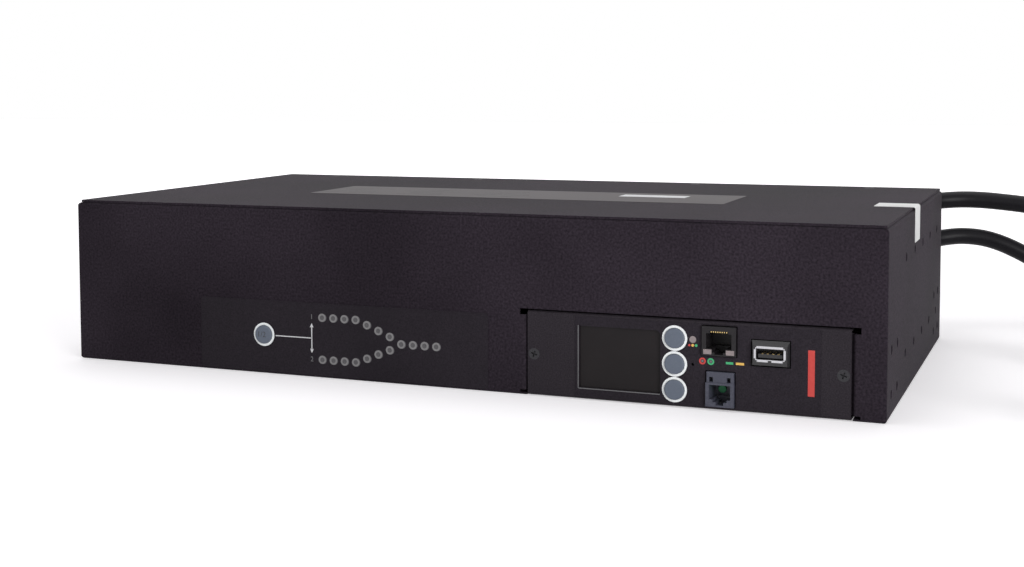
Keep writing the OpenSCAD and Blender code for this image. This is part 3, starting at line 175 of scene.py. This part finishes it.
def make_finishes():
    """One material for each finish, keyed by its name."""
    return {
        "case_coat": finish("case_coat", (0.001, 0.0006, 0.0013), (0.05, 0.039, 0.052), 900, 0.3, 0.6,
                            specular=0.035),
        "panel_coat": finish("panel_coat", (0.007, 0.0056, 0.0076), (0.044, 0.037, 0.045), 1500, 0.1, 0.55,
                             specular=0.08),
        "white_ink": finish("white_ink", (0.62, 0.62, 0.64), (0.7, 0.7, 0.72), 900, 0.005, 0.5),
        # Grey ink for print; the same material also paints the highlight lines along the display window's
        # bevelled edge.
        "grey_ink_and_highlight": finish("grey_ink_and_highlight", (0.12, 0.12, 0.125), (0.16, 0.16, 0.165), 900, 0.005, 0.5),
        "rim_ink": finish("rim_ink", (0.17, 0.165, 0.17), (0.22, 0.215, 0.22), 900, 0.005, 0.5),
        "dark_ink": finish("dark_ink", (0.03, 0.03, 0.034), (0.05, 0.05, 0.055), 900, 0.005, 0.5),
        "red_ink": finish("red_ink", (0.5, 0.035, 0.03), (0.56, 0.06, 0.05), 900, 0.005, 0.5),
        "green_ink": finish("green_ink", (0.04, 0.36, 0.14), (0.06, 0.42, 0.18), 900, 0.005, 0.5),
        "amber_ink": finish("amber_ink", (0.75, 0.42, 0.08), (0.8, 0.5, 0.12), 900, 0.005, 0.5),
        "black_screw": finish("black_screw", (0.02, 0.019, 0.022), (0.04, 0.04, 0.044), 1800, 0.02, 0.45,
                              metallic=0.3, specular=0.3),
        "grey_label": finish("grey_label", (0.085, 0.077, 0.08), (0.11, 0.1, 0.105), 900, 0.005, 0.5,
                             specular=0.05),
        "white_label": finish("white_label", (0.8, 0.8, 0.8), (0.7, 0.7, 0.7), 700, 0.01, 0.5),
        "black_film": finish("black_film", (0.007, 0.0055, 0.0074), (0.034, 0.028, 0.036), 1700, 0.05, 0.55,
                             specular=0.08),
        "grey_lens": finish("grey_lens", (0.05, 0.048, 0.053), (0.1, 0.095, 0.1), 900, 0.01, 0.4),
        "lamp_lens": finish("lamp_lens", (0.2, 0.165, 0.17), (0.3, 0.25, 0.25), 900, 0.01, 0.35),
        "led": finish("led", (0.7, 0.68, 0.6), (0.8, 0.78, 0.7), 900, 0.01, 0.35),
        "circuit_board": finish("circuit_board", (0.01, 0.09, 0.035), (0.02, 0.16, 0.07), 400, 0.02, 0.35),
        "button": finish("button", (0.105, 0.125, 0.165), (0.13, 0.15, 0.19), 1500, 0.01, 0.45, specular=0.3),
        "white_ring": finish("white_ring", (0.92, 0.96, 0.97), (0.98, 0.99, 0.99), 900, 0.01, 0.35),
        "switch_plastic": finish("switch_plastic", (0.03, 0.03, 0.032), (0.05, 0.05, 0.052),
                                 1500, 0.01, 0.45),
        "zinc": finish("zinc", (0.6, 0.6, 0.62), (0.5, 0.5, 0.52), 700, 0.01, 0.28, metallic=1.0),
        "window": finish("window", (0.012, 0.01, 0.0105), (0.018, 0.015, 0.016), 60, 0.002, 0.25, 0.04,
                         specular=0.12),
        "display": finish("display", (0.03, 0.05, 0.04), (0.04, 0.06, 0.05), 300, 0.002, 0.15),
        "jack_plastic": finish("jack_plastic", (0.007, 0.006, 0.007), (0.018, 0.016, 0.018), 1500, 0.01, 0.4,
                               specular=0.25),
        "lilac_plastic": finish("lilac_plastic", (0.035, 0.036, 0.055), (0.075, 0.078, 0.105),
                                1200, 0.01, 0.35,
                                specular=0.35),
        "gold": finish("gold", (0.8, 0.6, 0.28), (0.7, 0.5, 0.2), 900, 0.01, 0.25, metallic=1.0),
        "chip": finish("chip", (0.012, 0.012, 0.013), (0.03, 0.03, 0.03), 2500, 0.02, 0.5),
        "relay_case": finish("relay_case", (0.014, 0.015, 0.02), (0.03, 0.03, 0.035), 900, 0.01, 0.3),
        "transformer": finish("transformer", (0.12, 0.07, 0.04), (0.25, 0.16, 0.09),
                              900, 0.1, 0.4, metallic=0.3),
        "capacitor": finish("capacitor", (0.4, 0.28, 0.05), (0.45, 0.33, 0.08), 900, 0.01, 0.35),
        "blue_plastic": finish("blue_plastic", (0.03, 0.07, 0.2), (0.04, 0.09, 0.24), 1500, 0.01, 0.4),
        "green_plastic": finish("green_plastic", (0.03, 0.14, 0.06), (0.04, 0.18, 0.08), 1500, 0.01, 0.4),
        "ribbon": finish("ribbon", (0.3, 0.31, 0.33), (0.24, 0.25, 0.27), 700, 0.05, 0.5),
        "black_plastic": finish("black_plastic", (0.012, 0.012, 0.013), (0.025, 0.024, 0.026),
                                1800, 0.02, 0.4),
        "brass": finish("brass", (0.72, 0.52, 0.22), (0.6, 0.42, 0.16), 900, 0.01, 0.3, metallic=1.0),
        "rubber": finish("rubber", (0.012, 0.011, 0.013), (0.03, 0.028, 0.032), 1500, 0.03, 0.5),
        "jacket": finish("jacket", (0.003, 0.0028, 0.004), (0.01, 0.009, 0.012),
                         900, 0.04, 0.4, specular=0.14),
        "strap": finish("strap", (0.014, 0.014, 0.018), (0.05, 0.05, 0.06), 1400, 0.25, 0.8),
    }


NODE_FINISHES = {
    "case_coat": ["chassis", "top_cover", "rear_panel"],
    "panel_coat": ["module_panel"],
    "black_screw": ["case_screws"],
    "grey_label": ["top_label"],
    "white_label": ["seal_label"],
    "black_film": ["front_film", "module_film"],
    "grey_lens": ["path_lenses"],
    "lamp_lens": ["panel_lamps"],
    "led": ["path_leds"],
    "circuit_board": ["led_board", "button_board", "controller_board", "power_board"],
    "button": ["preference_button", "upper_button", "middle_button", "lower_button"],
    "white_ring": ["preference_ring", "menu_rings"],
    "switch_plastic": ["button_switches", "reset_plunger"],
    "zinc": ["module_tray", "usb_shell", "board_standoffs", "board_screws", "plug_blades"],
    "window": ["display_window"],
    "display": ["display_module"],
    "jack_plastic": ["network_jack"],
    "lilac_plastic": ["serial_jack"],
    "gold": ["jack_contacts", "outlet_contacts"],
    "chip": ["board_chips"],
    "relay_case": ["transfer_relays"],
    "transformer": ["supply_transformers"],
    "capacitor": ["filter_capacitors"],
    "blue_plastic": ["current_sensors"],
    "green_plastic": ["terminal_blocks"],
    "ribbon": ["ribbon_cables"],
    "black_plastic": ["usb_bezel", "usb_tongue", "outlet_bank_left", "outlet_bank_right", "locking_outlet",
                      "relief_nuts"],
    "brass": ["ground_stud"],
    "rubber": ["strain_reliefs", "plug_a", "plug_b"],
    "jacket": ["power_leads", "cord_a", "cord_b", "coil_a", "coil_b"],
    "strap": ["coil_ties"],
}


def dress(piece, material):
    """Gives a piece one material in every slot."""
    if not piece.data.materials:
        piece.data.materials.append(material)
    for slot in piece.material_slots:
        slot.material = material


# ---- Power cords ----

CORD_D = 10.5 * MM
ROUTE_A = [(186, 153, 72), (186, 160, 72), (188.5, 169.5, 72.4), (193.5, 178.5, 73.2), (200.5, 186.5, 74.2),
           (210, 193, 75.2), (221, 197, 75.8), (233, 198.6, 75.6), (246, 199, 74.6), (259, 199, 73.2),
           (272, 198.8, 70.9), (284, 198.5, 67.2), (297, 198, 61.8), (310, 197.4, 54.6), (323, 196.6, 46.4),
           (336, 195.8, 37.9), (348, 195.1, 30.4), (359, 194.6, 24.3), (370, 194.2, 19.4), (380, 194, 16.6)]
TAIL_A = [(380, 50, 5.25), (369, 50, 5.25), (358, 50, 5.4), (346, 50, 6.15), (334.5, 50, 8.8)]
ROUTE_B = [(186, 153, 46), (186, 160, 46), (188.5, 169.5, 46.7), (193.5, 178.5, 48), (200.5, 186.5, 49.8),
           (210, 193, 51.7), (221, 197, 52.8), (233, 198.8, 51.9), (244, 199.3, 48.9), (255, 199.9, 44),
           (266, 200.6, 38), (278, 201.4, 31), (290, 202.3, 24), (303, 203.3, 17), (316, 204.3, 11.2),
           (330, 205.3, 7.2), (345, 206, 5.5), (365, 206.5, 5.25), (390, 206.5, 5.25), (414, 206.5, 5.25),
           (431, 203.5, 5.25), (446, 194.8, 5.25), (457.3, 181.5, 5.25), (463.2, 165.2, 5.25),
           (464, 148, 5.25), (464, 125, 5.25), (464, 100, 5.6), (464, 72, 7.6), (464, 44, 10.8),
           (464, 14, 14.2), (464, -12, 15.6), (464, -36, 15.75)]
TAIL_B = [(399, -101, 5.25), (388, -101, 5.25), (377, -101, 5.4), (365, -101, 6.15), (353.5, -101, 8.8)]
LAYER_LOW = 5.25
LAYER_TOP = 15.75
ONE_TURN = 360
TURN_STEP = 15


def smoothstep(t):
    """Eases from 0 to 1."""
    t = min(max(t, 0), 1)
    return t * t * (3 - 2 * t)


def smooth_route(points, steps=5):
    """Points along a smooth curve through the given ones."""
    points = [Vector(p) for p in points]
    padded = [points[0] * 2 - points[1], *points, points[-1] * 2 - points[-2]]
    result = []
    for i in range(1, len(padded) - 2):
        a, b, c, d = padded[i - 1:i + 3]
        for k in range(steps):
            t = k / steps
            result.append(0.5 * (2 * b + (c - a) * t + (2 * a - 5 * b + 4 * c - d) * t * t
                                 + (3 * b - a - 3 * c + d) * t * t * t))
    return result + [points[-1]]


def layer_radius(angle, radii):
    """Radius after angle degrees from an outer end: each turn keeps its radius, then steps inwards."""
    turn = min(int(angle // ONE_TURN), 1)
    if angle >= 2 * ONE_TURN:
        return radii[2]
    return radii[turn] + (radii[turn + 1] - radii[turn]) * smoothstep((angle - ONE_TURN * turn - 210) / 150)


def coil_turns(centre, radii, start, total):
    """A two-layer coil wound clockwise: in over the top layer, down, and out under it."""
    result = []
    for k in range(1, int(total / TURN_STEP)):
        angle = k * TURN_STEP
        radius = layer_radius(min(angle, total - angle), radii)
        drop = smoothstep((angle - total / 2) / 150 + 0.5)
        heading = math.radians(start - angle)
        result.append(Vector((centre[0] + radius * math.cos(heading), centre[1] + radius * math.sin(heading),
                              LAYER_TOP + (LAYER_LOW - LAYER_TOP) * drop)))
    return result


def make_cord(name, route, centre, radii, start, total, tail, cad_nodes):
    """One cord from its strain relief through its coil to its plug."""
    points = smooth_route(route) + coil_turns(centre, radii, start, total) + smooth_route(tail)
    curve = bpy.data.curves.new(name, "CURVE")
    curve.dimensions = "3D"
    curve.bevel_depth = CORD_D / 2
    curve.bevel_resolution = 4
    curve.use_fill_caps = True
    spline = curve.splines.new("POLY")
    spline.points.add(len(points) - 1)
    for point, place in zip(spline.points, points):
        point.co = (*(place * MM), 1)
    piece = bpy.data.objects.new(name, curve)
    bpy.context.scene.collection.objects.link(piece)
    dress(piece, finishes["jacket"])
    spline.use_smooth = True
    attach(piece, "case")
    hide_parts(*cad_nodes)
    return piece


# ---- Printed marks and painted highlights ----

MARK_T = 0.06 * MM


def finish_mark(mark, name, material, body="case"):
    """Sets a drawn mark's place in its mesh and fixes it to the case."""
    bpy.ops.object.select_all(action="DESELECT")
    mark.select_set(True)
    bpy.context.view_layer.objects.active = mark
    bpy.ops.object.transform_apply(location=True, rotation=True, scale=True)
    bpy.ops.object.mode_set(mode="EDIT")
    bpy.ops.mesh.select_all(action="SELECT")
    bpy.ops.mesh.remove_doubles(threshold=0.01 * MM)
    bpy.ops.mesh.normals_make_consistent(inside=False)
    bpy.ops.object.mode_set(mode="OBJECT")
    mark.name = name
    dress(mark, finishes[material])
    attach(mark, body)
    return mark


def raised_mark(name, material, middle, size, sides=4, upright=True, ring=0):
    """A raised flat mark, for print and for painted highlights: size is its width and height, ring the width
    of its rim if it is open.
    """
    bpy.ops.object.select_all(action="DESELECT")
    bpy.ops.mesh.primitive_circle_add(vertices=sides, radius=1, fill_type="NGON")
    mark = bpy.context.object
    bpy.ops.object.mode_set(mode="EDIT")
    bpy.ops.mesh.select_all(action="SELECT")
    if sides == 4:
        bpy.ops.transform.rotate(value=math.pi / 4, orient_axis="Z", center_override=(0, 0, 0))
        bpy.ops.transform.resize(value=(math.sqrt(2), math.sqrt(2), 1))
    bpy.ops.transform.resize(value=(size[0] / 2, size[1] / 2, 1))
    if ring:
        bpy.ops.mesh.inset(thickness=ring, depth=0)
        bpy.ops.mesh.delete(type="ONLY_FACE")
        bpy.ops.mesh.select_all(action="SELECT")
    bpy.ops.mesh.extrude_region_move(TRANSFORM_OT_translate={"value": (0, 0, MARK_T)})
    bpy.ops.object.mode_set(mode="OBJECT")
    mark.location = middle
    if upright:
        mark.rotation_euler = (math.pi / 2, 0, 0)
    return finish_mark(mark, name, material)


def ink_digit(name, digit, middle, height, material="grey_ink_and_highlight", body="case"):
    """A raised digit on the front."""
    bpy.ops.object.select_all(action="DESELECT")
    bpy.ops.object.text_add(location=middle, rotation=(math.pi / 2, 0, 0))
    mark = bpy.context.object
    mark.data.body = digit
    mark.data.size = height * 1.4
    mark.data.align_x = "CENTER"
    mark.data.align_y = "CENTER"
    mark.data.extrude = MARK_T / 2
    mark.data.resolution_u = 3
    bpy.ops.object.convert(target="MESH")
    return finish_mark(bpy.context.object, name, material, body)


LENS_R = 2.1 * MM
LENS_STEP = 6.4 * MM
PATH_RISE = [10.9, 10.9, 10.9, 10.9, 8.6, 6, 3.4]
LENSES_OUT = 4


def light_rim_places():
    """Middles of the lenses of the power path: both sources, then the way out."""
    low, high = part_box("path_lenses")
    first_x = low[0] + LENS_R
    middle = (low[2] + high[2]) / 2
    sources = [(first_x + i * LENS_STEP, middle + side * up * MM)
               for side in (1, -1) for i, up in enumerate(PATH_RISE)]
    return sources + [(first_x + i * LENS_STEP, middle)
                      for i in range(len(PATH_RISE), len(PATH_RISE) + LENSES_OUT)]


ARROW_X = -70.7 * MM
ARROW_Z = 20.4 * MM
ARROW_HEAD = 2 * MM
ARROW_TIP = 6.6 * MM
SOURCE_DIGIT_H = 2.6 * MM
BUTTON_DIGIT_H = 3 * MM


def make_front_marks():
    """The line and the double arrow between the preference button and the two paths."""
    y = FILM_FACE
    raised_mark("preference_line", "white_ink", (-81.4 * MM, y, ARROW_Z), (21.4 * MM, 0.5 * MM))
    raised_mark("source_arrow_line", "white_ink", (ARROW_X, y, ARROW_Z), (0.55 * MM, 12 * MM))
    for name, side in (("source_arrow_up", 1), ("source_arrow_down", -1)):
        place = (ARROW_X, y, ARROW_Z + side * ARROW_TIP)
        head = raised_mark(name, "white_ink", place, (ARROW_HEAD, ARROW_HEAD))
        for vertex in head.data.vertices:
            if (vertex.co.z - ARROW_Z) * side > ARROW_TIP:
                vertex.co.x = ARROW_X + (vertex.co.x - ARROW_X) * 0.1
    ink_digit("source_digit_1", "1", (ARROW_X, y, 31.4 * MM), SOURCE_DIGIT_H)
    ink_digit("source_digit_2", "2", (ARROW_X, y, 9.4 * MM), SOURCE_DIGIT_H)
    left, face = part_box("preference_button")[0][:2]
    ink_digit("preference_digits", "1/2", (left + 4.7 * MM, face, 20.6 * MM), BUTTON_DIGIT_H, "dark_ink",
              "preference_button")
    for number, (x, z) in enumerate(light_rim_places()):
        raised_mark(f"lens_rim_{number}", "rim_ink", (x, y, z), (4.3 * MM, 4.3 * MM), 24, ring=0.9 * MM)


DOT_Z = 29.7 * MM
PORT_RING_Z = 22.7 * MM
PORT_RING_D = 3.2 * MM


def make_module_marks():
    """Small lights, rings, dashes and the plain bar on the module's film, and painted highlight lines along
    the display window's edge.
    """
    for name, material, x, d in (("dot_red", "red_ink", 127.4, 1.1), ("dot_amber", "amber_ink", 129.0, 1.3),
                                 ("dot_green", "green_ink", 130.6, 1.3)):
        raised_mark(name, material, (x * MM, MODULE_FACE, DOT_Z), (d * MM, d * MM), 16)
    for name, material, x in (("port_ring_red", "red_ink", 133.6), ("port_ring_green", "green_ink", 137.5)):
        place = (x * MM, MODULE_FACE, PORT_RING_Z)
        raised_mark(name, material, place, (PORT_RING_D, PORT_RING_D), 24, ring=0.75 * MM)
        raised_mark(name + "_middle", "grey_ink_and_highlight", place, (1.2 * MM, 1.2 * MM), 16)
    for name, material, x, z, width, height in (
            ("speed_dash_green", "green_ink", 146.2, 22.5, 3.4, 1.1),
            ("speed_dash_amber", "amber_ink", 151, 22.5, 3.8, 1.1),
            ("red_bar", "red_ink", 183.2, 20.4, 3, 21),
            # Painted highlight: these two light grey lines stand for light caught on the bevelled edge of the
            # film around the display window, on its left and lower sides.
            ("window_edge_highlight_left", "grey_ink_and_highlight", 73.4, 20.7, 0.4, 30.2),
            ("window_edge_highlight_low", "grey_ink_and_highlight", 93.5, 5.5, 40, 0.4)):
        raised_mark(name, material, (x * MM, MODULE_FACE, z * MM), (width * MM, height * MM))


LIGHT_R = 1.9 * MM
LIGHT_T = 1.2 * MM


def make_serial_light():
    """A small lit lens inside the serial socket."""
    bpy.ops.object.select_all(action="DESELECT")
    bpy.ops.mesh.primitive_cylinder_add(vertices=20, radius=LIGHT_R, depth=LIGHT_T,
                                        location=(140.6 * MM, FRONT + 10.4 * MM, 8.2 * MM),
                                        rotation=(math.pi / 2, 0, 0))
    light = bpy.context.object
    bpy.ops.object.mode_set(mode="EDIT")
    bpy.ops.mesh.select_all(action="SELECT")
    bpy.ops.mesh.bevel(offset=0.4 * MM, segments=2)
    bpy.ops.object.mode_set(mode="OBJECT")
    finish_mark(light, "serial_light", "green_ink")


def make_label_marks():
    """A lighter field and rows of short dashes on the grey label."""
    low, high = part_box("top_label")
    raised_mark("label_field", "white_ink", (75.5 * MM, low[1] + 39 * MM, high[2]), (37 * MM, 13 * MM),
              upright=False)
    for row in range(4):
        for column in range(3):
            raised_mark(f"label_dash_{row}_{column}", "dark_ink",
                      (low[0] + (18 + column * 46) * MM, low[1] + (12 + row * 10) * MM, high[2]),
                      ((34 - 7 * ((row + column) % 3)) * MM, 1.1 * MM), upright=False)


# ---- Floor and lamps ----

def make_floor():
    """A white sweep under and behind the object that keeps its shadow."""
    bpy.ops.mesh.primitive_plane_add(size=8, location=(0, 0, 0))
    floor = bpy.context.object
    floor.name = "floor"
    material = bpy.data.materials.new("floor_white")
    material.use_nodes = True
    shader = material.node_tree.nodes["Principled BSDF"]
    shader.inputs["Base Color"].default_value = (0.9, 0.89, 0.91, 1)
    shader.inputs["Roughness"].default_value = 0.6
    shader.inputs["Specular IOR Level"].default_value = 0.1
    shader.inputs["Emission Color"].default_value = (1, 0.98, 1, 1)
    tree = material.node_tree
    place = tree.nodes.new("ShaderNodeTexCoord")
    away = tree.nodes.new("ShaderNodeVectorMath")
    away.operation = "LENGTH"
    tree.links.new(place.outputs["Object"], away.inputs[0])
    rise = tree.nodes.new("ShaderNodeMapRange")
    for socket, value in (("From Min", 0.5), ("From Max", 1.5), ("To Min", 0.36), ("To Max", 1)):
        rise.inputs[socket].default_value = value
    tree.links.new(away.outputs["Value"], rise.inputs["Value"])
    glow = math_node(tree, "MULTIPLY", seen_directly(tree, 1, 0), rise.outputs["Result"])
    tree.links.new(glow, shader.inputs["Emission Strength"])
    floor.data.materials.append(material)


def seen_directly(tree, seen, otherwise):
    """The first value for what the eye, a reflection or a clear piece sees, the second for the rest."""
    path = tree.nodes.new("ShaderNodeLightPath")
    direct = math_node(tree, "MAXIMUM", path.outputs["Is Camera Ray"], path.outputs["Is Transmission Ray"])
    direct = math_node(tree, "MAXIMUM", direct, path.outputs["Is Glossy Ray"])
    return math_node(tree, "ADD", math_node(tree, "MULTIPLY", direct, seen - otherwise), otherwise)


def make_world():
    """White to the eye and in reflections, and a soft grey light on everything else."""
    world = bpy.data.worlds.new("studio")
    world.use_nodes = True
    tree = world.node_tree
    back = tree.nodes["Background"]
    back.inputs["Color"].default_value = (1, 1, 1, 1)
    tree.links.new(seen_directly(tree, 1, 0.33), back.inputs["Strength"])
    bpy.context.scene.world = world


def make_lamp(name, place, target, size, power):
    """A soft square lamp that faces its target."""
    light = bpy.data.lights.new(name, "AREA")
    light.shape = "RECTANGLE"
    light.size, light.size_y = size
    light.energy = power
    lamp = bpy.data.objects.new(name, light)
    lamp.location = place
    lamp.rotation_euler = (Vector(target) - Vector(place)).to_track_quat("-Z", "Y").to_euler()
    bpy.context.scene.collection.objects.link(lamp)


# ---- The scene ----

bpy.context.scene.view_settings.view_transform = "Standard"
place_camera()
finishes = make_finishes()
for finish_name, dressed in NODE_FINISHES.items():
    for node_name in dressed:
        dress(nodes[node_name], finishes[finish_name])

make_cord("power_cord_a", ROUTE_A, (380, 122), (72, 61.5, 51), 90, 1980, TAIL_A,
          ("cord_a", "coil_a"))
make_cord("power_cord_b", ROUTE_B, (399, -36), (65, 54.5, 44), 0, 1890, TAIL_B,
          ("cord_b", "coil_b"))

make_front_marks()
make_module_marks()
make_serial_light()
make_label_marks()

make_floor()
make_world()
make_lamp("overhead", (-0.3, 0.2, 1.6), (0, 0, 0), (2, 1.6), 14)
make_lamp("right_side", (1.1, -1, 0.4), (0.2, -0.1, 0.04), (0.7, 0.7), 13)
